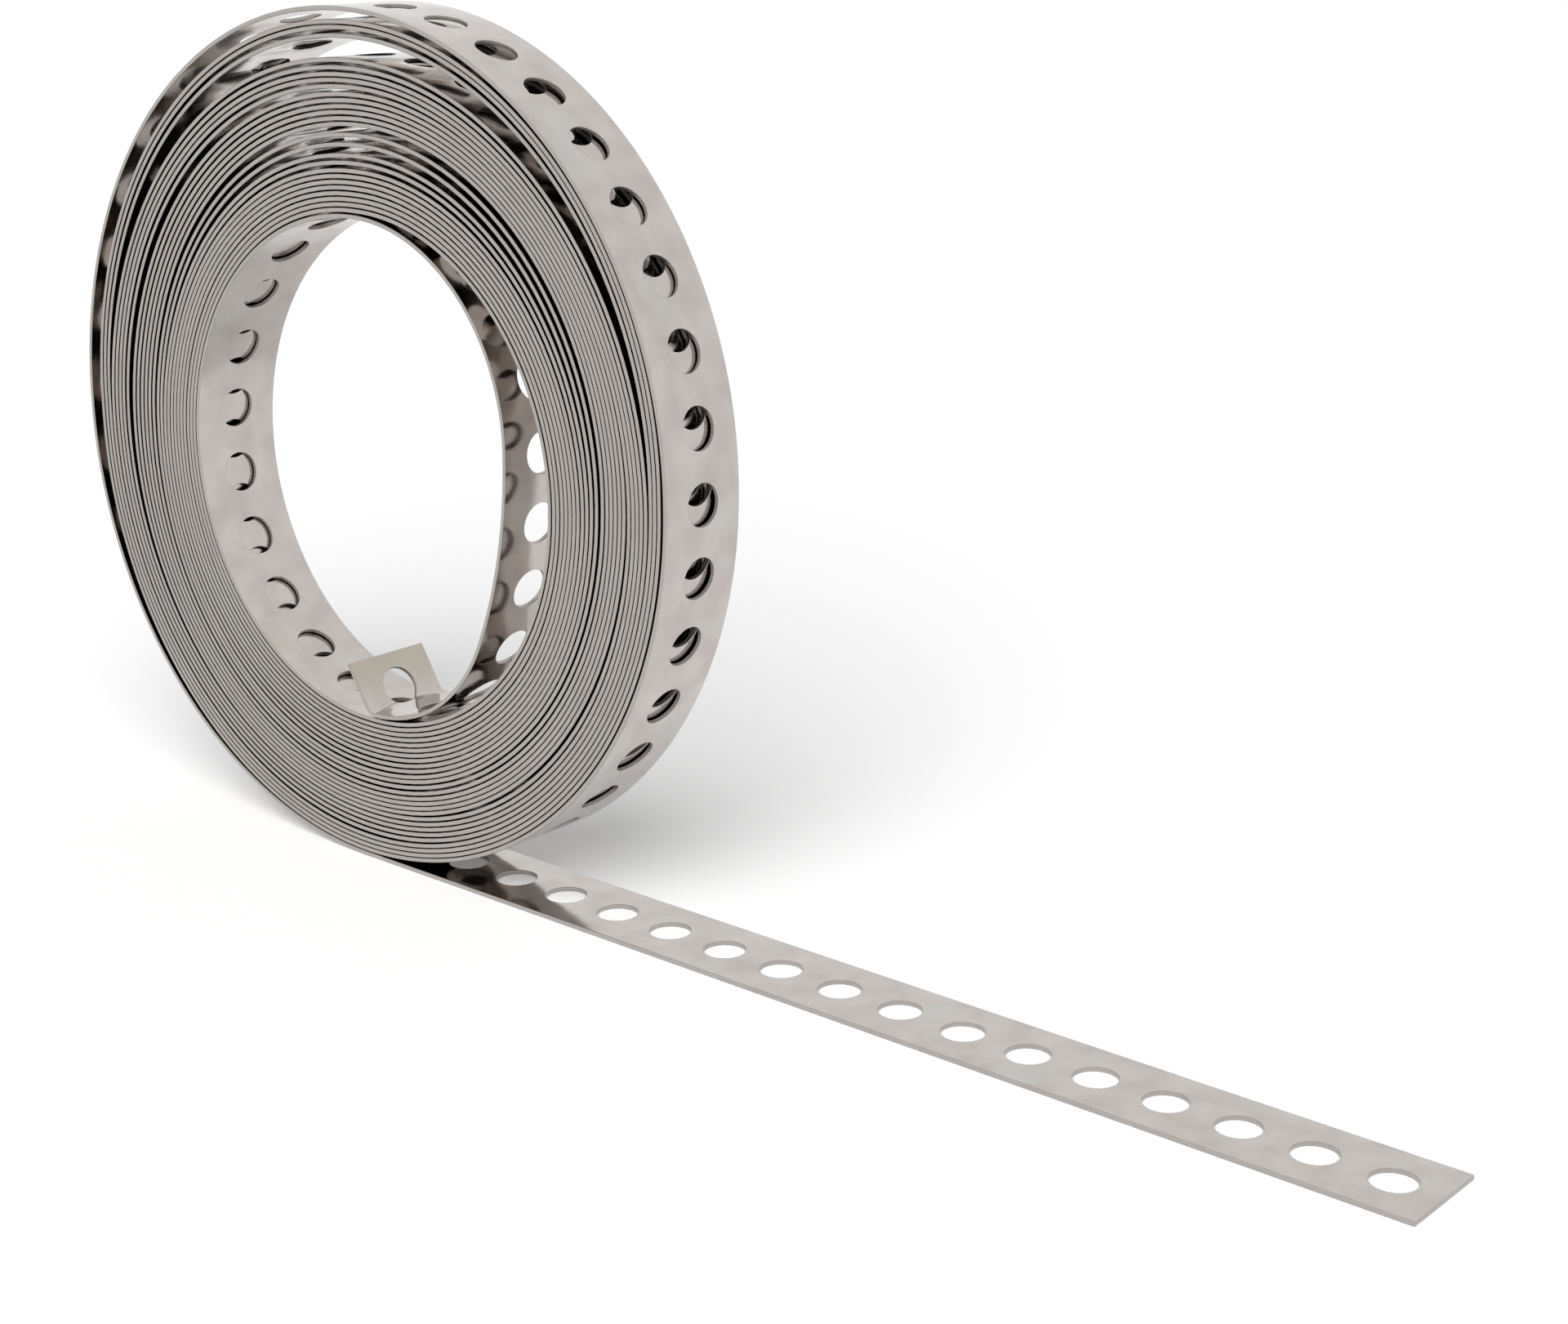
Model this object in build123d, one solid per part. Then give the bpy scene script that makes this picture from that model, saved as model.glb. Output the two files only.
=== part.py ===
from build123d import *
import math
import os

# Perforated steel strap, one piece: a coil that stands on edge, with its outer end run out along the floor
# and its inner end bent up as a short tab.
# Lengths are in millimetres. The origin is on the floor, at mid width, under the middle of the coil.
# +X runs along the free outer end, Y runs across the strap and +Z is up.

# Strap
STRAP_WIDTH = 17.0
STRAP_THICKNESS = 0.75
HOLE_DIAMETER = 7.0
HOLE_PITCH = 12.0
END_TO_FIRST_HOLE = 7.5

# Free outer end: it lies flat from its cut end to where the outermost turn lifts off the floor
TAIL_END_X = 204.0
LIFT_OFF_X = -1.0

# Outermost turn, measured to its outer face. The coil is wound round, so its reach to the left and right
# follows its height, less a little where it has settled out of round.
COIL_HEIGHT = 147.0
SHORT_ON_LEFT = 0.3
SHORT_ON_RIGHT = 1.0
COIL_LEFT = COIL_HEIGHT / 2 - SHORT_ON_LEFT
COIL_RIGHT = COIL_HEIGHT / 2 - SHORT_ON_RIGHT

# Air between one layer and the next one in, on the four sides of the coil, from the outermost turn in.
# The coil has sprung open where the air is wide.
GAPS = {
    "bottom": [
        0.11, 0.11, 0.13, 0.15, 0.39, 0.28, 0.25, 0.18, 0.19, 0.11, 0.14, 0.13, 0.14, 0.23,
        0.32, 0.26, 0.13, 0.34, 0.28, 0.30, 0.20, 0.19, 0.18, 0.20, 0.15, 0.17, 0.17,
    ],
    "left": [
        2.48, 0.32, 0.28, 0.30, 0.35, 0.31, 0.28, 0.48, 1.06, 0.42, 0.44, 0.36, 0.34, 0.43,
        0.50, 0.24, 0.23, 0.21, 0.24, 0.19, 0.18, 0.17, 0.18, 0.26, 0.16, 0.16, 0.17,
    ],
    "top": [
        1.33, 0.14, 0.56, 3.11, 0.47, 0.33, 0.16, 0.26, 0.41, 0.22, 0.21, 0.18, 0.22, 0.16,
        0.98, 0.84, 1.04, 0.46, 0.53, 0.20, 0.20, 0.16, 0.20, 0.16, 0.14, 0.18, 0.26,
    ],
    "right": [
        0.45, 0.16, 0.12, 0.26, 0.19, 0.13, 0.11, 0.15, 0.29, 0.16, 0.16, 0.15, 0.14, 0.25,
        0.54, 0.36, 0.26, 0.23, 0.23, 0.15, 0.14, 0.13, 0.13, 0.21, 0.12, 0.26, 0.11,
    ],
}

# Coil: whole turns, and how far its foot creeps to the right from the first turn to the last
WOUND_TURNS = len(GAPS["top"])
FOOT_CREEP = 1.9

# Innermost turn: it lies on the coil on the left and at the top, hangs free on the right
# and comes to rest on the coil's foot
FREE_SIDE_AIR = 9.3
FREE_FOOT_RADIUS = 30.0
FREE_FOOT_X = 2.4
FREE_FOOT_AIR = 0.17

# Tab at the inner end
TAB_BEND_RADIUS = 1.5
TAB_BEND_ANGLE = 58.0
TAB_LENGTH = 8.6
TAB_HOLE_TO_END = 6.3

QUARTER = 90.0
MID_THICKNESS = STRAP_THICKNESS / 2
HOLE_RADIUS = HOLE_DIAMETER / 2
CUTTER_LENGTH = 2 * STRAP_THICKNESS


def arc(radius, angle=QUARTER):
    """A bend of the path towards the coil's centre, with its radius at mid thickness."""
    return radius, angle


def run(length):
    """A straight stretch of the path."""
    return length, 0.0


def layers(side, first, inward):
    """Places of all turns on one side at mid thickness, from the outermost turn in."""
    places = [first]
    for air in GAPS[side]:
        places.append(places[-1] + inward * (STRAP_THICKNESS + air))
    return places


BOTTOM = layers("bottom", MID_THICKNESS, 1)
LEFT = layers("left", MID_THICKNESS - COIL_LEFT, 1)
TOP = layers("top", COIL_HEIGHT - MID_THICKNESS, -1)
RIGHT = layers("right", COIL_RIGHT - MID_THICKNESS, -1)


def foot(turn):
    """Where a turn's lowest point is along X."""
    return LIFT_OFF_X + FOOT_CREEP * turn / WOUND_TURNS


def turn_steps(turn):
    """Path of one turn: four quarter bends that meet the turn's place on each side.

    A turn that is taller than it is wide has short upright runs between its bends,
    and one that is wider has short level runs.
    """
    width = RIGHT[turn] - LEFT[turn]
    rise = TOP[turn] - BOTTOM[turn]
    drop = TOP[turn] - BOTTOM[turn + 1]
    excess = (foot(turn + 1) - foot(turn) + rise + drop) / 2 - width
    upright = max(excess, 0.0)
    level = max(-excess, 0.0)
    lower_left = foot(turn) - LEFT[turn]
    upper_left = rise - upright - lower_left
    upper_right = width - level - upper_left
    lower_right = drop - upright - upper_right
    return [
        arc(lower_left), run(upright), arc(upper_left), run(level),
        arc(upper_right), run(upright), arc(lower_right), run(level),
    ]


def tail_steps():
    """Path of the free outer end, from its cut end to where it lifts off."""
    return [run(TAIL_END_X - LIFT_OFF_X)]


def innermost_steps():
    """Path of the loose innermost turn and the tab that ends it."""
    last = WOUND_TURNS
    rise = TOP[last] - BOTTOM[last]
    lower_left = foot(last) - LEFT[last]
    upper_left = rise - lower_left
    side_x = RIGHT[last - 1] - FREE_SIDE_AIR - STRAP_THICKNESS
    upper_right = side_x - LEFT[last] - upper_left
    across = side_x - FREE_FOOT_X
    down = TOP[last] - upper_right - BOTTOM[last] - STRAP_THICKNESS - FREE_FOOT_AIR
    lean = 2 * math.atan((across - FREE_FOOT_RADIUS) / (down - FREE_FOOT_RADIUS))
    side_radius = (down - FREE_FOOT_RADIUS) / math.sin(lean) + FREE_FOOT_RADIUS
    lean_degrees = math.degrees(lean)
    return [
        arc(lower_left), arc(upper_left), arc(upper_right),
        arc(side_radius, lean_degrees), arc(FREE_FOOT_RADIUS, QUARTER - lean_degrees),
        arc(TAB_BEND_RADIUS, TAB_BEND_ANGLE), run(TAB_LENGTH),
    ]


def follow(steps, start, heading, outward=0.0):
    """Edges along the path, all moved outward from mid thickness by the same amount."""
    across = Vector(1, 0).rotate(Axis.Z, heading + QUARTER)
    point = start + across * outward
    edges = []
    for size, angle in steps:
        along = Vector(1, 0).rotate(Axis.Z, heading)
        if angle:
            edges.append(JernArc(point, along, size + outward, -angle))
            heading -= angle
        elif size:
            edges.append(Line(point, point + along * size))
        point = edges[-1] @ 1
    return edges, heading


class Stretch:
    """A length of the strap that follows its steps, drawn upright in the XY plane."""

    def __init__(self, steps, start, heading):
        middle, self.heading = follow(steps, start, heading)
        outer, _ = follow(steps, start, heading, MID_THICKNESS)
        inner, _ = follow(steps, start, heading, -MID_THICKNESS)
        self.path = Wire(middle)
        self.end = middle[-1] @ 1
        ends = [Line(outer[0] @ 0, inner[0] @ 0), Line(outer[-1] @ 1, inner[-1] @ 1)]
        self.solid = extrude(make_face(outer + inner + ends), STRAP_WIDTH / 2, both=True)

    def punch(self, first):
        """Punch round holes from the distance first on, as far as a whole hole fits."""
        place = first
        cutters = []
        while place + HOLE_RADIUS < self.path.length:
            centre = self.path.position_at(place, position_mode=PositionMode.LENGTH)
            along = self.path.tangent_at(place, position_mode=PositionMode.LENGTH)
            through = Plane(origin=centre, x_dir=(0, 0, 1), z_dir=along.rotate(Axis.Z, QUARTER))
            cutters.append(through * Cylinder(HOLE_RADIUS, CUTTER_LENGTH))
            place += HOLE_PITCH
        self.solid -= cutters


def strap():
    """The whole strap: tail and outermost turn, coil, innermost turn and tab.

    The holes of the outer stretch are counted from the cut end, and those of the inner
    stretch back from the tab to the first one that lies wholly in it. The turns between
    the two stretches are hidden and stay plain.
    """
    cut_end = Vector(TAIL_END_X, MID_THICKNESS)
    outer = Stretch(tail_steps() + turn_steps(0), cut_end, 2 * QUARTER)
    outer.punch(END_TO_FIRST_HOLE)

    coil_steps = []
    for turn in range(1, WOUND_TURNS):
        coil_steps += turn_steps(turn)
    coil = Stretch(coil_steps, outer.end, outer.heading)

    inner = Stretch(innermost_steps(), coil.end, coil.heading)
    last_hole = inner.path.length - TAB_HOLE_TO_END
    inner.punch(HOLE_RADIUS + (last_hole - HOLE_RADIUS) % HOLE_PITCH)

    return outer.solid + coil.solid + inner.solid


os.makedirs("parts", exist_ok=True)
export_step(Plane.XZ * strap(), "parts/strap.step")
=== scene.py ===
# %% [markdown]
# # Perforated steel strap
#
# The object is one length of flat steel strap, 17 mm wide and 0.75 mm thick, with a 7 mm hole every 12 mm.
# Ten metres of it are wound into a coil that stands on edge. The outer end runs out flat along the floor,
# and the inner end is bent up as a short tab inside the coil.
#
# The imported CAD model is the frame: it says where everything is. It has holes only where the strap is in
# the open. Here the whole strap is built again, with every hole, in the same place and in the same box.

# %% Load the frame
import bisect
import math

import bmesh
import bpy
from mathutils import Matrix, Vector


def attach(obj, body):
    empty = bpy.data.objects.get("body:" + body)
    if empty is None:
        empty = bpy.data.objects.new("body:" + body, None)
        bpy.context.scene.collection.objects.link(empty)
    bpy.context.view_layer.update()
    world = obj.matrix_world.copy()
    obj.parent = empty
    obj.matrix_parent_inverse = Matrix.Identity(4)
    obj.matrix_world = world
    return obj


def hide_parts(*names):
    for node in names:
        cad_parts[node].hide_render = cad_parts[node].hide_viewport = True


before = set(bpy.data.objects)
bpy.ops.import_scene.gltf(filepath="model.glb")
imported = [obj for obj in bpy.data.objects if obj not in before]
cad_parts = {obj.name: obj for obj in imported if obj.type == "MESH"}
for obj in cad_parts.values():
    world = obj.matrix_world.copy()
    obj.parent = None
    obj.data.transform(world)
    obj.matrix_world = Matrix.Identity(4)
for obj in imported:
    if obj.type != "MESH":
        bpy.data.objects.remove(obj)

# Blender's own start scene has these three
for name in ("Cube", "Light", "Camera"):
    if name in bpy.data.objects:
        bpy.data.objects.remove(bpy.data.objects[name])


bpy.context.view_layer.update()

# %% [markdown]
# ## The strap's sizes
#
# These are the sizes that the CAD source was built from, in millimetres, so both files draw the same
# strap. They could also be measured on the frame, but a coil's inner turns can't be read from a box. The
# gaps are the air between each layer and the next one in, on the four sides of the coil. They were
# measured across the coil's face and then evened out so that no two layers touch. A formula would need
# fewer numbers, but a coil that has sprung open is uneven, and the dark lines between its turns show it.
# The finished mesh is scaled to metres when it is wound up.

# %% Sizes
MM = 0.001

# Strap
STRAP_WIDTH = 17.0
STRAP_THICKNESS = 0.75
HOLE_DIAMETER = 7.0
HOLE_PITCH = 12.0
END_TO_FIRST_HOLE = 7.5

# Free outer end: it lies flat from its cut end to where the outermost turn lifts off the floor
TAIL_END_X = 204.0
LIFT_OFF_X = -1.0

# Outermost turn, to its outer face: its reach to the left and right is a little under half its height
COIL_HEIGHT = 147.0
SHORT_ON_LEFT = 0.3
SHORT_ON_RIGHT = 1.0
COIL_LEFT = COIL_HEIGHT / 2 - SHORT_ON_LEFT
COIL_RIGHT = COIL_HEIGHT / 2 - SHORT_ON_RIGHT

# Air between the layers, from the outermost turn in
GAPS = {
    "bottom": [
        0.11, 0.11, 0.13, 0.15, 0.39, 0.28, 0.25, 0.18, 0.19, 0.11, 0.14, 0.13, 0.14, 0.23,
        0.32, 0.26, 0.13, 0.34, 0.28, 0.30, 0.20, 0.19, 0.18, 0.20, 0.15, 0.17, 0.17,
    ],
    "left": [
        2.48, 0.32, 0.28, 0.30, 0.35, 0.31, 0.28, 0.48, 1.06, 0.42, 0.44, 0.36, 0.34, 0.43,
        0.50, 0.24, 0.23, 0.21, 0.24, 0.19, 0.18, 0.17, 0.18, 0.26, 0.16, 0.16, 0.17,
    ],
    "top": [
        1.33, 0.14, 0.56, 3.11, 0.47, 0.33, 0.16, 0.26, 0.41, 0.22, 0.21, 0.18, 0.22, 0.16,
        0.98, 0.84, 1.04, 0.46, 0.53, 0.20, 0.20, 0.16, 0.20, 0.16, 0.14, 0.18, 0.26,
    ],
    "right": [
        0.45, 0.16, 0.12, 0.26, 0.19, 0.13, 0.11, 0.15, 0.29, 0.16, 0.16, 0.15, 0.14, 0.25,
        0.54, 0.36, 0.26, 0.23, 0.23, 0.15, 0.14, 0.13, 0.13, 0.21, 0.12, 0.26, 0.11,
    ],
}

# Whole turns, and how far the coil's foot creeps to the right from the first turn to the last
WOUND_TURNS = len(GAPS["top"])
FOOT_CREEP = 1.9

# Loose innermost turn
FREE_SIDE_AIR = 9.3
FREE_FOOT_RADIUS = 30.0
FREE_FOOT_X = 2.4
FREE_FOOT_AIR = 0.17

# Tab at the inner end
TAB_BEND_RADIUS = 1.5
TAB_BEND_ANGLE = 58.0
TAB_LENGTH = 8.6
TAB_HOLE_TO_END = 6.3

MID_THICKNESS = STRAP_THICKNESS / 2
QUARTER = math.pi / 2
print("strap", STRAP_WIDTH, "x", STRAP_THICKNESS, "mm,", WOUND_TURNS, "wound turns")

# %% [markdown]
# ## Where each turn lies
#
# A wound strap is one long curve. It could be drawn as a smooth spiral formula, but this coil has sprung
# open unevenly: on the left and at the top some turns stand well away from the next one. So each turn has
# its own place at the bottom, left, top and right, and four quarter bends join those places. Where a turn
# is taller than it is wide, a short straight run sits between the bends.

# %% Places of the turns


def layers(side, first, inward):
    """Places of all turns on one side at mid thickness, from the outermost turn in."""
    places = [first]
    for air in GAPS[side]:
        places.append(places[-1] + inward * (STRAP_THICKNESS + air))
    return places


BOTTOM = layers("bottom", MID_THICKNESS, 1)
LEFT = layers("left", MID_THICKNESS - COIL_LEFT, 1)
TOP = layers("top", COIL_HEIGHT - MID_THICKNESS, -1)
RIGHT = layers("right", COIL_RIGHT - MID_THICKNESS, -1)


def foot(turn):
    """Where a turn's lowest point is along X."""
    return LIFT_OFF_X + FOOT_CREEP * turn / WOUND_TURNS


bore_width = RIGHT[-1] - LEFT[-1]
bore_height = TOP[-1] - BOTTOM[-1]
print("bore about", round(bore_width), "mm wide and", round(bore_height), "mm high")

# %% [markdown]
# ## The path of the strap
#
# The path is kept as a list of steps, each a straight run or a bend of constant radius. A step is found by
# its distance from the cut end, and then the point and the direction there follow from plain circle
# geometry. A Bezier curve with a bevel could carry the strap too, but a hole's place is a distance along
# the strap, and only a path that is measured by distance keeps every hole round.

# %% Path


class Path:
    """A flat curve of runs and bends that is looked up by the distance from its start."""

    def __init__(self, start, heading):
        self.end = Vector(start)
        self.heading = heading
        self.length = 0.0
        self.steps = []
        self.starts = []

    def add(self, size, angle=0.0):
        """Adds a run of a length or, with an angle, a bend of a radius towards the coil's centre."""
        if size <= 0.0:
            return
        self.steps.append((size, angle, self.end, self.heading))
        self.starts.append(self.length)
        self.length += size * angle if angle else size
        self.end, self.heading = self.at(self.length)

    def at(self, distance):
        """The point and the heading at a distance along the path."""
        index = max(bisect.bisect_right(self.starts, distance) - 1, 0)
        size, angle, start, heading = self.steps[index]
        past = distance - self.starts[index]
        if not angle:
            return start + ahead(heading) * past, heading
        turned = heading - past / size
        return start + (outward(turned) - outward(heading)) * size, turned


def ahead(heading):
    """Unit vector along a heading."""
    return Vector((math.cos(heading), math.sin(heading)))


def outward(heading):
    """Unit vector across a heading, away from the coil's centre."""
    return Vector((-math.sin(heading), math.cos(heading)))


def add_turn(path, turn):
    """One turn: four quarter bends, with short runs where the turn isn't as wide as it is high."""
    width = RIGHT[turn] - LEFT[turn]
    rise = TOP[turn] - BOTTOM[turn]
    drop = TOP[turn] - BOTTOM[turn + 1]
    excess = (foot(turn + 1) - foot(turn) + rise + drop) / 2 - width
    upright = max(excess, 0.0)
    level = max(-excess, 0.0)
    lower_left = foot(turn) - LEFT[turn]
    upper_left = rise - upright - lower_left
    upper_right = width - level - upper_left
    lower_right = drop - upright - upper_right
    path.add(lower_left, QUARTER)
    path.add(upright)
    path.add(upper_left, QUARTER)
    path.add(level)
    path.add(upper_right, QUARTER)
    path.add(upright)
    path.add(lower_right, QUARTER)
    path.add(level)


def add_innermost(path):
    """The loose innermost turn, which hangs free on the right, and the tab that ends it."""
    last = WOUND_TURNS
    lower_left = foot(last) - LEFT[last]
    upper_left = TOP[last] - BOTTOM[last] - lower_left
    side_x = RIGHT[last - 1] - FREE_SIDE_AIR - STRAP_THICKNESS
    upper_right = side_x - LEFT[last] - upper_left
    across = side_x - FREE_FOOT_X - FREE_FOOT_RADIUS
    rest = BOTTOM[last] + STRAP_THICKNESS + FREE_FOOT_AIR
    down = TOP[last] - upper_right - rest - FREE_FOOT_RADIUS
    lean = 2 * math.atan(across / down)
    path.add(lower_left, QUARTER)
    path.add(upper_left, QUARTER)
    path.add(upper_right, QUARTER)
    path.add(down / math.sin(lean) + FREE_FOOT_RADIUS, lean)
    path.add(FREE_FOOT_RADIUS, QUARTER - lean)
    path.add(TAB_BEND_RADIUS, math.radians(TAB_BEND_ANGLE))
    path.add(TAB_LENGTH)


strap_path = Path((TAIL_END_X, MID_THICKNESS), math.pi)
strap_path.add(TAIL_END_X - LIFT_OFF_X)
turn_starts = []
for turn in range(WOUND_TURNS):
    turn_starts.append(strap_path.length)
    add_turn(strap_path, turn)
turn_starts.append(strap_path.length)
add_innermost(strap_path)
print("strap length", round(strap_path.length / 1000, 3), "m in", len(strap_path.steps), "steps")

# %% [markdown]
# ## One hole's length of strap
#
# The strap is rolled flat and then punched, and the press repeats the same stroke every 12 mm. So one cell
# of flat strap with one hole is enough. It starts as a circle, for the hole, inside a rectangle. Bridging
# the two outlines fills the steel between them with a ring of neat four-sided faces. Cutting the hole with
# a boolean would work as well, but it leaves long thin faces that shade badly once the strap is bent.
#
# The slit edges and the rims of the holes aren't razor sharp, because slitting and punching round them a
# little. So the borders of this upper face are extruded step by step down into a narrow round, which
# catches the light as on the real strap. A mirrored copy makes the lower face, and bridging the borders of
# the two faces makes the walls. The turns that are hidden in the coil get a simpler cell with fewer sides
# and sharp holes, since several hundred of them are laid.

# %% Cell
# Edges are picked by where they lie, to within NEAR
NEAR = 0.01
EDGE_ROUND = 0.12
RIM_ROUND = 0.14


def edges_where(mesh, test):
    """The edges of a mesh whose middle point passes a test."""
    return [edge for edge in mesh.edges if test((edge.verts[0].co + edge.verts[1].co) / 2)]


def round_over(cell, border, radius, steps, reach):
    """Rolls the border of the upper face over in a quarter round, and returns where it ends.

    reach moves a point until it is a distance short of the wall.
    """
    for step in range(1, steps + 1):
        angle = QUARTER * step / steps
        made = bmesh.ops.extrude_edge_only(cell, edges=border)["geom"]
        points = [item for item in made if isinstance(item, bmesh.types.BMVert)]
        for point in points:
            reach(point.co, radius * (1 - math.sin(angle)))
            point.co.z = MID_THICKNESS - radius * (1 - math.cos(angle))
        edges = [item for item in made if isinstance(item, bmesh.types.BMEdge)]
        border = [edge for edge in edges if all(point in points for point in edge.verts)]
    return border


def reach_side(point, short):
    """Moves a point to a distance inside the long side that it is nearer to."""
    point.y = math.copysign(STRAP_WIDTH / 2 - short, point.y)


def reach_hole(point, short):
    """Moves a point to a distance outside the hole's wall."""
    point.xy = point.xy.normalized() * (HOLE_DIAMETER / 2 + short)


def punched_cell(hole_sides, long_sides, rim_round, rim_steps):
    """A flat cell of strap with its hole in the middle, open where it meets its neighbours."""
    cell = bmesh.new()
    bmesh.ops.create_circle(cell, segments=hole_sides, radius=HOLE_DIAMETER / 2 + rim_round)
    rim = cell.edges[:]
    corners = bmesh.ops.create_circle(
        cell, segments=4, radius=math.sqrt(0.5), matrix=Matrix.Rotation(QUARTER / 2, 4, "Z"))["verts"]
    bmesh.ops.scale(cell, vec=(HOLE_PITCH, STRAP_WIDTH - 2 * EDGE_ROUND, 1), verts=corners)
    ends = edges_where(cell, lambda point: abs(point.x) > HOLE_PITCH / 2 - NEAR)
    sides = edges_where(cell, lambda point: abs(point.y) > STRAP_WIDTH / 2 - EDGE_ROUND - NEAR)
    bmesh.ops.subdivide_edges(cell, edges=sides, cuts=long_sides - 1)
    bmesh.ops.subdivide_edges(cell, edges=ends, cuts=1)
    bmesh.ops.bridge_loops(cell, edges=cell.edges[:])
    bmesh.ops.translate(cell, vec=(0, 0, MID_THICKNESS), verts=cell.verts[:])

    sides = edges_where(cell, lambda point: abs(point.y) > STRAP_WIDTH / 2 - EDGE_ROUND - NEAR)
    round_over(cell, sides, EDGE_ROUND, 1, reach_side)
    round_over(cell, rim, rim_round, rim_steps, reach_hole)
    bmesh.ops.mirror(cell, geom=cell.verts[:] + cell.edges[:] + cell.faces[:], axis="Z", merge_dist=0.0)
    for wall in (
        lambda point: point.xy.length < HOLE_DIAMETER / 2 + NEAR,
        lambda point: point.y > STRAP_WIDTH / 2 - NEAR,
        lambda point: point.y < NEAR - STRAP_WIDTH / 2,
    ):
        open_edges = [edge for edge in edges_where(cell, wall) if edge.is_boundary]
        bmesh.ops.bridge_loops(cell, edges=open_edges)
    return cell


seen_cell = punched_cell(hole_sides=24, long_sides=10, rim_round=RIM_ROUND, rim_steps=2)
hidden_cell = punched_cell(hole_sides=12, long_sides=4, rim_round=0.0, rim_steps=0)
print("seen cell", len(seen_cell.faces), "faces, hidden cell", len(hidden_cell.faces), "faces")

# %% [markdown]
# ## Ten metres of flat strap
#
# Now the cell is laid end to end, as it leaves the press. Spin with no angle is a plain row of copies, and
# it keeps everything in one mesh. An Array modifier would do the same, but here several rows follow each
# other, with the fine cell wherever the strap can be seen, also through the holes of the turn next to it:
#
# - the tail and the outermost turn, counted from the cut end
# - the second turn, which shows through the outermost one's holes
# - the turns that are hidden in the coil, stretched by a hair to fill what is left
# - the last wound turn, which shows through the innermost one's holes
# - the loose innermost turn and the tab, counted back from the tab's end
#
# The first and the last row fall exactly where the CAD has its holes. Between them nobody can tell a turn's
# length to a millimetre, so how far the holes of two neighbouring turns are out of step is free to choose.
# One longer or shorter cell before the second turn and one after the last wound turn set it, so that each
# hole shows a crescent of the hole behind it.
#
# Each copy is made from the copy before it, and over the long hidden row the rounding adds up to a few
# hundredths of a millimetre. So the seams are welded over a distance that is wider than this and smaller
# than any step in a seam's outline.

# %% Flat strap
WELD = 0.06

# How much longer the spacer cell before the second turn and the one after the last wound turn are
SECOND_TURN_SHIFT = 0.5
LAST_TURN_SHIFT = -2.5


def lay(strip, cell, start, count, pitch=HOLE_PITCH):
    """Adds a row of cells to the flat strap and returns where it ends."""
    row = cell.copy()
    bmesh.ops.scale(row, vec=(pitch / HOLE_PITCH, 1, 1), verts=row.verts[:])
    bmesh.ops.translate(row, vec=(start + pitch / 2, 0, 0), verts=row.verts[:])
    if count > 1:
        bmesh.ops.spin(
            row, geom=row.verts[:] + row.edges[:] + row.faces[:], cent=(0, 0, 0), axis=(0, 0, 1),
            dvec=(pitch, 0, 0), angle=0.0, steps=count - 1, use_duplicate=True)
    mesh = bpy.data.meshes.new("row")
    row.to_mesh(mesh)
    strip.from_mesh(mesh)
    bpy.data.meshes.remove(mesh)
    row.free()
    return start + count * pitch


# Where the rows at the inner end start, counted back from the tab's last hole
inner_end = strap_path.length - TAB_HOLE_TO_END + HOLE_PITCH / 2
inner_count = math.ceil((inner_end - turn_starts[-1]) / HOLE_PITCH)
inner_start = inner_end - inner_count * HOLE_PITCH
last_spacer = HOLE_PITCH + LAST_TURN_SHIFT
last_turn_count = math.ceil((inner_start - last_spacer - turn_starts[-2]) / HOLE_PITCH)
last_turn_start = inner_start - last_spacer - last_turn_count * HOLE_PITCH

strip = bmesh.new()
outer_count = int((turn_starts[1] - HOLE_DIAMETER / 2 - END_TO_FIRST_HOLE) / HOLE_PITCH) + 1
place = lay(strip, seen_cell, END_TO_FIRST_HOLE - HOLE_PITCH / 2, outer_count)
place = lay(strip, hidden_cell, place, 1, HOLE_PITCH + SECOND_TURN_SHIFT)
second_turn_count = math.ceil((turn_starts[2] - place) / HOLE_PITCH)
place = lay(strip, seen_cell, place, second_turn_count)
hidden_count = round((last_turn_start - place) / HOLE_PITCH)
hidden_pitch = (last_turn_start - place) / hidden_count
lay(strip, hidden_cell, place, hidden_count, hidden_pitch)
lay(strip, seen_cell, last_turn_start, last_turn_count)
lay(strip, hidden_cell, inner_start - last_spacer, 1, last_spacer)
lay(strip, seen_cell, inner_start, inner_count)
seams = [point for point in strip.verts if point.is_boundary]
bmesh.ops.remove_doubles(strip, verts=seams, dist=WELD)

seen_count = outer_count + second_turn_count + last_turn_count + inner_count
spacer_count = 2
hole_count = seen_count + hidden_count + spacer_count
print(hole_count, "holes, of which", seen_count, "fine; hidden pitch", round(hidden_pitch, 3), "mm")

# %% [markdown]
# ## The two cut ends
#
# The strap was cut square at both ends, a little way from the nearest hole. The row's open outline is
# moved out almost to the cut, drawn the last bit to it with a slight inset and filled with one flat face.
# That narrow slope is the edge that the shears leave. A bevel on the finished corner would slide along the
# ring of faces round the last hole and tear it.

# %% Cut ends
CUT_ROUND = 0.06


def close_end(strip, cut, last_ring):
    """Draws one open end of the flat strap out to the cut and closes it."""
    outline = [
        edge for edge in strip.edges
        if edge.is_boundary and abs(edge.verts[0].co.x - cut) < HOLE_PITCH
    ]
    for point in {point for edge in outline for point in edge.verts}:
        point.co.x = last_ring
    made = bmesh.ops.extrude_edge_only(strip, edges=outline)["geom"]
    points = [item for item in made if isinstance(item, bmesh.types.BMVert)]
    inset = (1, 1 - 2 * CUT_ROUND / STRAP_WIDTH, 1 - 2 * CUT_ROUND / STRAP_THICKNESS)
    bmesh.ops.scale(strip, vec=inset, verts=points)
    for point in points:
        point.co.x = cut
    edges = [item for item in made if isinstance(item, bmesh.types.BMEdge)]
    cap = [edge for edge in edges if all(point in points for point in edge.verts)]
    bmesh.ops.holes_fill(strip, edges=cap, sides=0)


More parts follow.
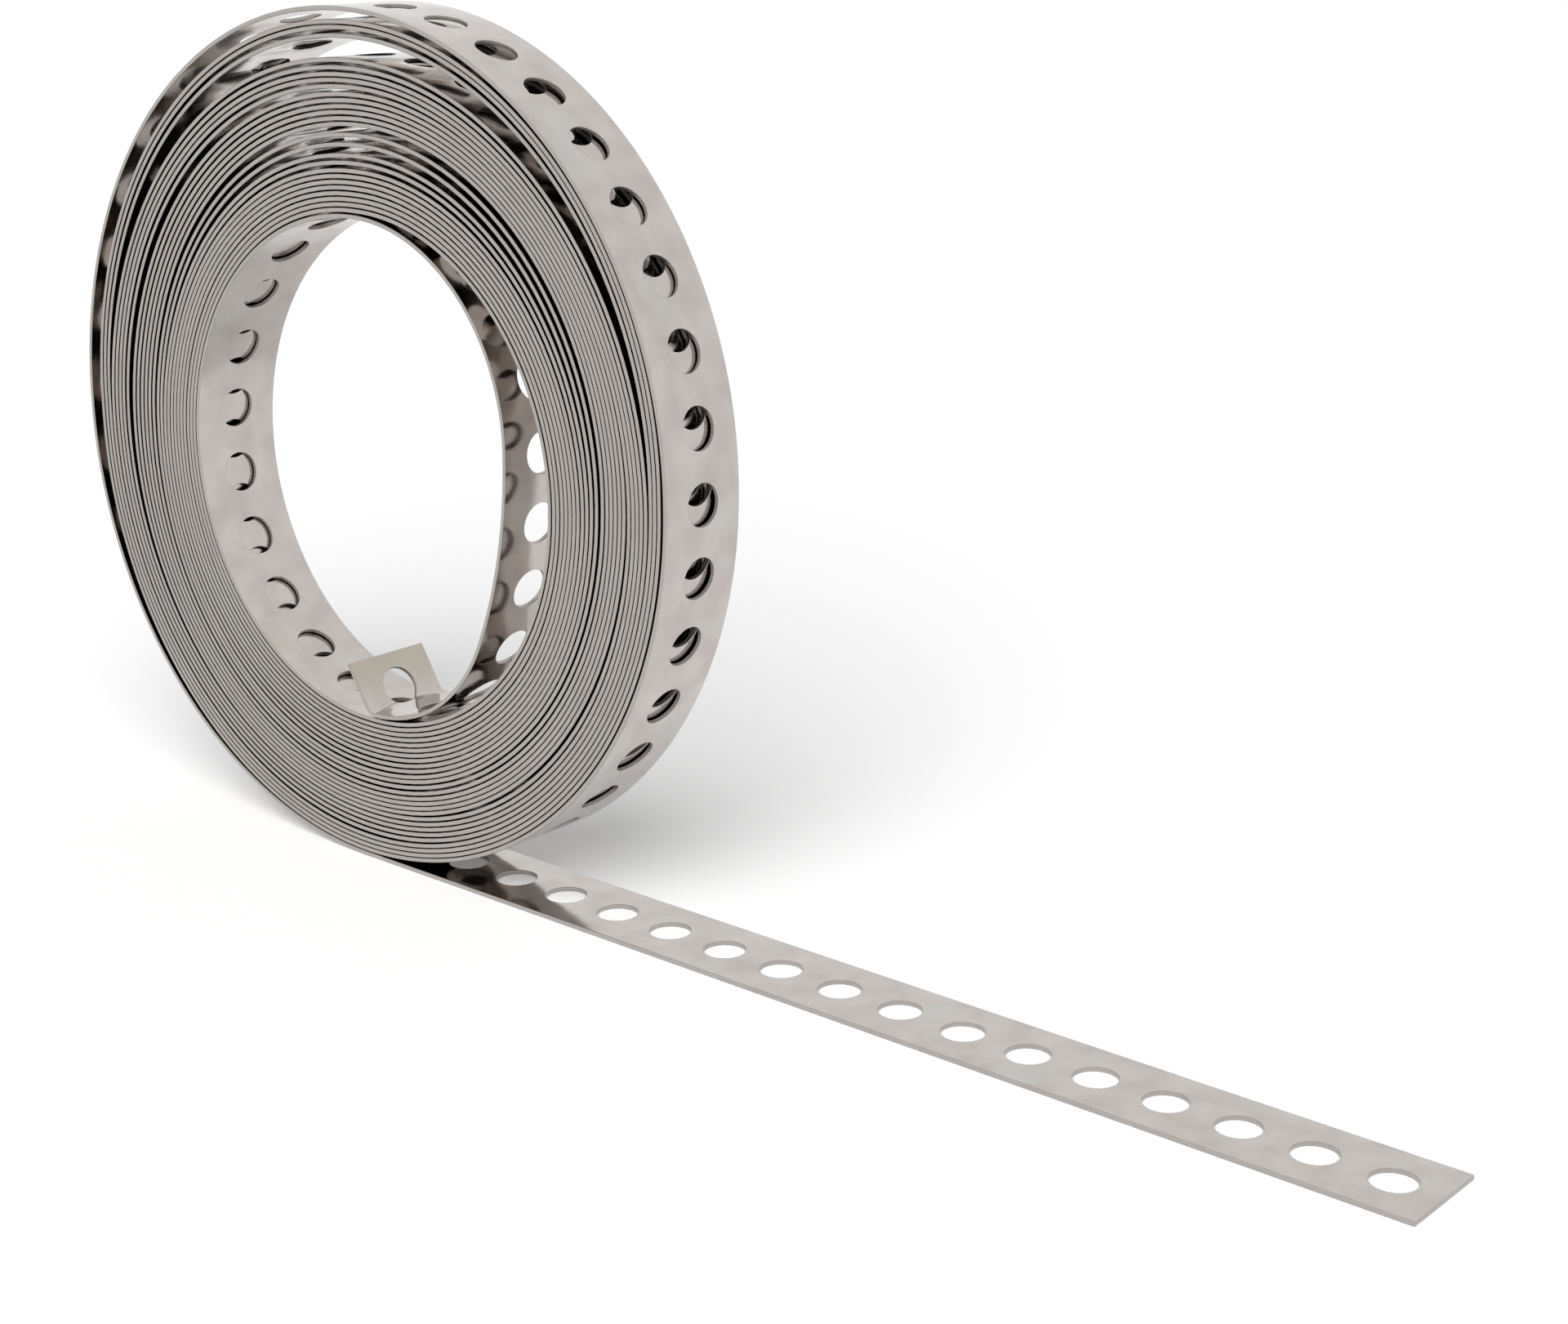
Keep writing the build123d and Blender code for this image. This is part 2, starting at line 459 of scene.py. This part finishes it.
close_end(strip, 0.0, CUT_ROUND)
close_end(strip, strap_path.length, strap_path.length - CUT_ROUND)
bmesh.ops.recalc_face_normals(strip, faces=strip.faces[:])
loose = sum(not edge.is_manifold for edge in strip.edges)
print("flat strap:", len(strip.faces), "faces,", loose, "open edges")

# %% [markdown]
# ## Winding the strap
#
# Winding moves every point of the flat strap onto the path: how far along the strap it was becomes a
# distance on the path, its place across the width stays, and its height over mid thickness is measured
# outwards from the path. A Curve modifier does nearly this, but it measures along the control points and
# would pull the holes out of place in the bends.
#
# Before it is wound, each point writes down where it was on the flat strap. Rolling lines and scratches
# run along the steel and not through space, so the finish will read this attribute.

# %% Wound strap
flat_place = strip.verts.layers.float_vector.new("flat_place")
for point in strip.verts:
    point[flat_place] = point.co * MM
    middle, heading = strap_path.at(point.co.x)
    plane = middle + outward(heading) * point.co.z
    point.co = Vector((plane.x, point.co.y, plane.y)) * MM

mesh = bpy.data.meshes.new("wound_strap")
strip.to_mesh(mesh)
strip.free()
mesh.shade_smooth()
wound_strap = bpy.data.objects.new("wound_strap", mesh)
bpy.context.scene.collection.objects.link(wound_strap)
mesh.calc_loop_triangles()
print("wound strap:", len(mesh.loop_triangles), "triangles")

# %% [markdown]
# ## Soft edges, flat faces
#
# Smooth shading alone would lean the normals of the broad faces over towards the narrow rounds and make
# the strap look like a cushion. Weighted normals let the largest face at each point decide, so the broad
# faces stay flat and only the rounds turn. Splitting the mesh at its edges would look too sharp.

# %% Normals
weighting = wound_strap.modifiers.new("broad faces first", "WEIGHTED_NORMAL")
weighting.mode = "FACE_AREA"
weighting.weight = 50
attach(wound_strap, "root")
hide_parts("strap")
print("wound_strap stands for the CAD node strap")

# %% [markdown]
# ## Arithmetic for finishes
#
# A finish is a tree of shader nodes. A sum of masks, each with its weight, is easier to read as plain
# arithmetic, so a small class wraps a socket and adds a Math node for each operator. All other nodes come
# from one method, which sets a node's own settings first and then its sockets.

# %% Shader helpers
MIX_FACTOR, MIX_A, MIX_B, MIX_RESULT = 0, 6, 7, 2


class Signal:
    """A value in a shader tree that takes part in plain arithmetic."""

    def __init__(self, finish, socket):
        self.finish = finish
        self.socket = socket

    def maths(self, operation, first, second):
        """A Math node on two values."""
        return self.finish.node("ShaderNodeMath", {"operation": operation}, {0: first, 1: second})

    def __add__(self, other):
        return self.maths("ADD", self, other)

    def __radd__(self, other):
        return self.maths("ADD", other, self)

    def __mul__(self, other):
        return self.maths("MULTIPLY", self, other)

    def __rmul__(self, other):
        return self.maths("MULTIPLY", other, self)


class Finish:
    """A shader tree that is built node by node."""

    def __init__(self, owner):
        owner.use_nodes = True
        self.tree = owner.node_tree
        self.tree.nodes.clear()

    def node(self, kind, settings, sockets, output=0):
        """Adds a node, sets its settings and then its sockets, and returns one of its outputs."""
        node = self.tree.nodes.new(kind)
        for name, value in settings.items():
            if name == "stops":
                self.set_stops(node.color_ramp, value)
            else:
                setattr(node, name, value)
        for name, value in sockets.items():
            if isinstance(value, Signal):
                self.tree.links.new(value.socket, node.inputs[name])
            else:
                node.inputs[name].default_value = value
        return Signal(self, node.outputs[output]) if len(node.outputs) else None

    def set_stops(self, ramp, stops):
        """Gives a colour ramp its stops, each a place and a grey level."""
        while len(ramp.elements) < len(stops):
            ramp.elements.new(1.0)
        for element, (place, grey) in zip(ramp.elements, stops):
            element.position = place
            element.color = (grey, grey, grey, 1.0)

    def noise(self, place, scale, detail, roughness=0.5):
        """Soft noise from 0 to 1 at a place, with a scale in waves per metre."""
        return self.node(
            "ShaderNodeTexNoise", {},
            {"Vector": place, "Scale": scale, "Detail": detail, "Roughness": roughness})

    def stretched(self, place, scale):
        """A place whose three directions are scaled, so that a pattern is drawn out along one."""
        return self.node("ShaderNodeMapping", {"vector_type": "POINT"}, {"Vector": place, "Scale": scale})

    def ramp(self, value, *stops):
        """A value read off a ramp of grey levels."""
        return self.node("ShaderNodeValToRGB", {"stops": stops}, {"Fac": value})

    def blend(self, share, first, second):
        """A colour between two colours."""
        return self.node(
            "ShaderNodeMix", {"data_type": "RGBA"},
            {MIX_FACTOR: share, MIX_A: first, MIX_B: second}, MIX_RESULT)


print("shader helpers are ready")

# %% [markdown]
# ## The darker inner end and the sheared walls
#
# Two places on the strap look different from the rest. The last stretch at the inner end, where the tab is,
# is darker and browner. And the walls of the slit edges and holes were sheared and not rolled, so they are
# duller and darker than the faces. Both could be painted by hand, but each follows from where a point was
# on the flat
# strap: the first from how far along it was, the second from how far under a face.

# %% Masks
# How far back from the inner end the darker, browner tone reaches
INNER_END_LENGTH = 12.0
SKIN = 0.04


def flat_coordinate(finish, place, axis):
    """One coordinate of a place on the flat strap."""
    return finish.node("ShaderNodeSeparateXYZ", {}, {"Vector": place}, output=axis)


def darker_inner_end(finish, place):
    """One at the strap's inner end and zero a short way before it."""
    length = strap_path.length
    return finish.node(
        "ShaderNodeMapRange", {"interpolation_type": "SMOOTHSTEP"},
        {"Value": flat_coordinate(finish, place, "X"),
         "From Min": (length - INNER_END_LENGTH) * MM, "From Max": length * MM})


def sheared_walls(finish, place):
    """One on the walls between the two rolled faces and zero on the faces."""
    height = flat_coordinate(finish, place, "Z")
    depth = finish.node("ShaderNodeMath", {"operation": "ABSOLUTE"}, {0: height})
    return finish.node(
        "ShaderNodeMapRange", {"interpolation_type": "SMOOTHSTEP"},
        {"Value": depth, "From Min": (MID_THICKNESS - SKIN) * MM, "From Max": MID_THICKNESS * MM,
         "To Min": 1.0, "To Max": 0.0})


print("masks: inner end darker for", INNER_END_LENGTH, "mm, sheared under a skin of", SKIN, "mm")

# %% [markdown]
# ## Bright rolled steel
#
# The strap is cold-rolled stainless steel, left bright. Straight on it is a calm, warm light grey; at a low
# angle it is nearly a mirror, so the coil shows dark in the strap at its foot. The coil's handling leaves
# cloudy patches, some a little warmer and some a little cooler, and a fine grain lies over all of it. The
# colour varies only a little, because a metal gets nearly all of its looks from what it reflects.

# %% Steel colours
STEEL = (0.575, 0.538, 0.512, 1.0)
STEEL_CLOUD = (0.47, 0.43, 0.41, 1.0)
STEEL_COOL = (0.53, 0.545, 0.52, 1.0)
STEEL_WARM = (0.57, 0.50, 0.42, 1.0)
# Darker, browner tone for the last stretch at the inner end
STEEL_INNER_END = (0.43, 0.39, 0.32, 1.0)
STEEL_SHEARED = (0.43, 0.405, 0.385, 1.0)

# Waves per metre
CLOUD_SCALE = 170.0
GRAIN_SCALE = 1500.0
HUE_SCALE = 75.0

# How much of a colour shows where its mask is full
WARM_SHARE = 0.4
COOL_SHARE = 0.6
GRAIN_SHARE = 0.3
INNER_END_SHARE = 0.8
SHEARED_SHARE = 0.7


def steel_colour(finish, place, clouds, sheared):
    """The steel's colour, blended from its main tone and its patches."""
    grain = finish.noise(place, scale=GRAIN_SCALE, detail=2.0)
    hue = finish.noise(place, scale=HUE_SCALE, detail=2.0)
    warmth = finish.ramp(hue, (0.54, 0.0), (0.72, 1.0))
    coolness = finish.ramp(hue, (0.30, 1.0), (0.46, 0.0))
    patches = finish.ramp(clouds, (0.35, 0.0), (0.72, 1.0))
    colour = finish.blend(patches, STEEL, STEEL_CLOUD)
    colour = finish.blend(warmth * WARM_SHARE, colour, STEEL_WARM)
    colour = finish.blend(coolness * COOL_SHARE, colour, STEEL_COOL)
    colour = finish.blend(grain * GRAIN_SHARE, colour, STEEL_CLOUD)
    colour = finish.blend(darker_inner_end(finish, place) * INNER_END_SHARE, colour, STEEL_INNER_END)
    return finish.blend(sheared * SHEARED_SHARE, colour, STEEL_SHEARED)


print("steel colours: one main tone and five to blend in")

# %% [markdown]
# ## How the steel reflects
#
# Most of the work is here. The roughness is low, so that the coil stays clear in the tail, and it rises a
# little in the cloudy patches, in the faint lines that the rolls leave along the strap and in a few fine
# scratches, and a lot on the sheared walls. A shallow bump with long waves makes the reflections waver as
# they do on thin sheet. Real dents in the mesh would do that too, but they would need far more faces.

# %% Steel finish
# Waves per metre, the lines and scratches along, across and through the strap
ROLLED_SCALE = (30.0, 2600.0, 1.0)
SCRATCH_SCALE = (45.0, 900.0, 1.0)
WAVER_SCALE = 130.0

FACE_ROUGHNESS = 0.07
CLOUD_ROUGHNESS = 0.06
ROLLED_ROUGHNESS = 0.05
SCRATCH_ROUGHNESS = 0.08
SHEARED_ROUGHNESS = 0.32

WAVER_HEIGHT = 0.9
ROLLED_HEIGHT = 0.06
CLOUD_HEIGHT = 0.12
BUMP_DEPTH = 0.4
BUMP_STRENGTH = 0.15


def make_steel():
    """The finish of bright cold-rolled strap."""
    material = bpy.data.materials.new("rolled_steel")
    finish = Finish(material)
    place = finish.node("ShaderNodeAttribute", {"attribute_name": "flat_place"}, {}, output="Vector")
    clouds = finish.noise(place, scale=CLOUD_SCALE, detail=4.0)
    rolled = finish.noise(finish.stretched(place, ROLLED_SCALE), scale=1.0, detail=2.0)
    scratch_field = finish.noise(finish.stretched(place, SCRATCH_SCALE), scale=1.0, detail=4.0)
    scratches = finish.ramp(scratch_field, (0.68, 0.0), (0.74, 1.0))
    waver = finish.noise(place, scale=WAVER_SCALE, detail=1.0)
    sheared = sheared_walls(finish, place)

    roughness = (
        FACE_ROUGHNESS + clouds * CLOUD_ROUGHNESS + rolled * ROLLED_ROUGHNESS
        + scratches * SCRATCH_ROUGHNESS + sheared * SHEARED_ROUGHNESS)
    relief = waver * WAVER_HEIGHT + rolled * ROLLED_HEIGHT + clouds * CLOUD_HEIGHT
    bump = finish.node(
        "ShaderNodeBump", {},
        {"Strength": BUMP_STRENGTH, "Distance": BUMP_DEPTH * MM, "Height": relief})
    shader = finish.node(
        "ShaderNodeBsdfPrincipled", {},
        {"Base Color": steel_colour(finish, place, clouds, sheared), "Metallic": 1.0,
         "Roughness": roughness, "Normal": bump})
    finish.node("ShaderNodeOutputMaterial", {}, {"Surface": shader})
    return material


mesh.materials.append(make_steel())
print("steel finish:", len(mesh.materials[0].node_tree.nodes), "nodes")

# %% [markdown]
# ## The studio
#
# The photograph shows the strap on a pure white ground, with soft grey shade behind the coil and beside its
# foot. The floor is a large pale sheet that takes the shade, with a little light of its own for the camera
# and for reflections, so that it reads as white where nothing shades it. The sky is plain white to the
# camera and in reflections. It lights the strap with only a third of that, because the window gives the
# rest, and lighting all of it more strongly to whiten the ground would burn out the steel.

# %% Floor and sky
FLOOR_SIZE = 6.0
FLOOR_DROP = 0.0001
FLOOR_GLOW = 0.14
PALE = (0.9, 0.9, 0.9, 1.0)
WHITE = (1.0, 1.0, 1.0, 1.0)
SKY_LIGHT = 0.34
SKY_SEEN = 1.0


def seen_or_reflected(finish):
    """One for rays from the camera, from a reflection or through glass, and zero for the rest."""
    seen = finish.node("ShaderNodeLightPath", {}, {}, output="Is Camera Ray")
    glossy = finish.node("ShaderNodeLightPath", {}, {}, output="Is Glossy Ray")
    through = finish.node("ShaderNodeLightPath", {}, {}, output="Is Transmission Ray")
    return seen + glossy + through


def make_floor():
    """The pale sheet that the strap stands on."""
    sheet = bmesh.new()
    bmesh.ops.create_grid(sheet, x_segments=1, y_segments=1, size=FLOOR_SIZE / 2)
    bmesh.ops.translate(sheet, vec=(0, 0, -FLOOR_DROP), verts=sheet.verts[:])
    floor_mesh = bpy.data.meshes.new("floor")
    sheet.to_mesh(floor_mesh)
    sheet.free()
    floor = bpy.data.objects.new("floor", floor_mesh)
    bpy.context.scene.collection.objects.link(floor)
    material = bpy.data.materials.new("pale_floor")
    finish = Finish(material)
    glow = seen_or_reflected(finish) * FLOOR_GLOW
    shader = finish.node(
        "ShaderNodeBsdfPrincipled", {},
        {"Base Color": PALE, "Roughness": 0.9, "Specular IOR Level": 0.0,
         "Emission Color": WHITE, "Emission Strength": glow})
    finish.node("ShaderNodeOutputMaterial", {}, {"Surface": shader})
    floor_mesh.materials.append(material)


def make_sky():
    """An even studio white that is brighter to the camera and in reflections."""
    world = bpy.data.worlds.new("studio")
    bpy.context.scene.world = world
    finish = Finish(world)
    strength = SKY_LIGHT + seen_or_reflected(finish) * (SKY_SEEN - SKY_LIGHT)
    light = finish.node("ShaderNodeBackground", {}, {"Color": WHITE, "Strength": strength})
    finish.node("ShaderNodeOutputWorld", {}, {"Surface": light})


make_floor()
make_sky()
print("floor", FLOOR_SIZE, "m wide under an even sky")

# %% [markdown]
# ## The window
#
# One wide window at the front right gives the shade its direction, so that it lies behind the coil. An area
# lamp near the strap would light it unevenly from end to end; a sun with a large angle is as soft and
# lights it evenly. It is left out of reflections, because bright steel would mirror it as a hard white
# patch that isn't in the photograph.

# %% Window
WINDOW_TOWARDS = (-0.37, 0.6, -0.71)
WINDOW_SOFTNESS = 45.0
WINDOW_STRENGTH = 2.8


def make_window(name, towards, softness, strength):
    """A wide, far window whose light comes evenly from one direction."""
    lamp = bpy.data.lights.new(name, "SUN")
    lamp.angle = math.radians(softness)
    lamp.energy = strength
    holder = bpy.data.objects.new(name, lamp)
    holder.rotation_euler = Vector(towards).to_track_quat("-Z", "Y").to_euler()
    holder.visible_glossy = False
    bpy.context.scene.collection.objects.link(holder)


make_window("front_right_window", WINDOW_TOWARDS, WINDOW_SOFTNESS, WINDOW_STRENGTH)
print("one window,", WINDOW_SOFTNESS, "degrees wide")

# %% [markdown]
# ## The camera
#
# The camera was worked out from the photograph: with the real hole pitch, width and coil height, only one
# place and lens put the holes and the coil's outline where the photograph has them. It looks along the
# free end from the front right, slightly down.

# %% Camera
CAMERA_PLACE = (0.3410, -0.2987, 0.1727)
CAMERA_YAW = 40.16
CAMERA_PITCH = 17.16
CAMERA_ROLL = 0.14
CAMERA_LENS = 61.12
SENSOR_WIDTH = 36.0


def make_camera():
    """The photograph's viewpoint."""
    yaw, pitch, roll = (math.radians(angle) for angle in (CAMERA_YAW, CAMERA_PITCH, CAMERA_ROLL))
    forward = Vector((-math.sin(yaw) * math.cos(pitch), math.cos(yaw) * math.cos(pitch), -math.sin(pitch)))
    level = Vector((math.cos(yaw), math.sin(yaw), 0.0))
    upright = level.cross(forward)
    right = level * math.cos(roll) + upright * math.sin(roll)
    up = upright * math.cos(roll) - level * math.sin(roll)
    camera = bpy.data.cameras.new("camera")
    camera.lens = CAMERA_LENS
    camera.sensor_fit = "HORIZONTAL"
    camera.sensor_width = SENSOR_WIDTH
    camera.clip_start = 0.01
    holder = bpy.data.objects.new("camera", camera)
    turned = Matrix((right, up, -forward)).transposed().to_4x4()
    holder.matrix_world = Matrix.Translation(CAMERA_PLACE) @ turned
    bpy.context.scene.collection.objects.link(holder)
    bpy.context.scene.camera = holder


make_camera()
bpy.context.scene.view_settings.view_transform = "Standard"
print("camera with a", CAMERA_LENS, "mm lens")
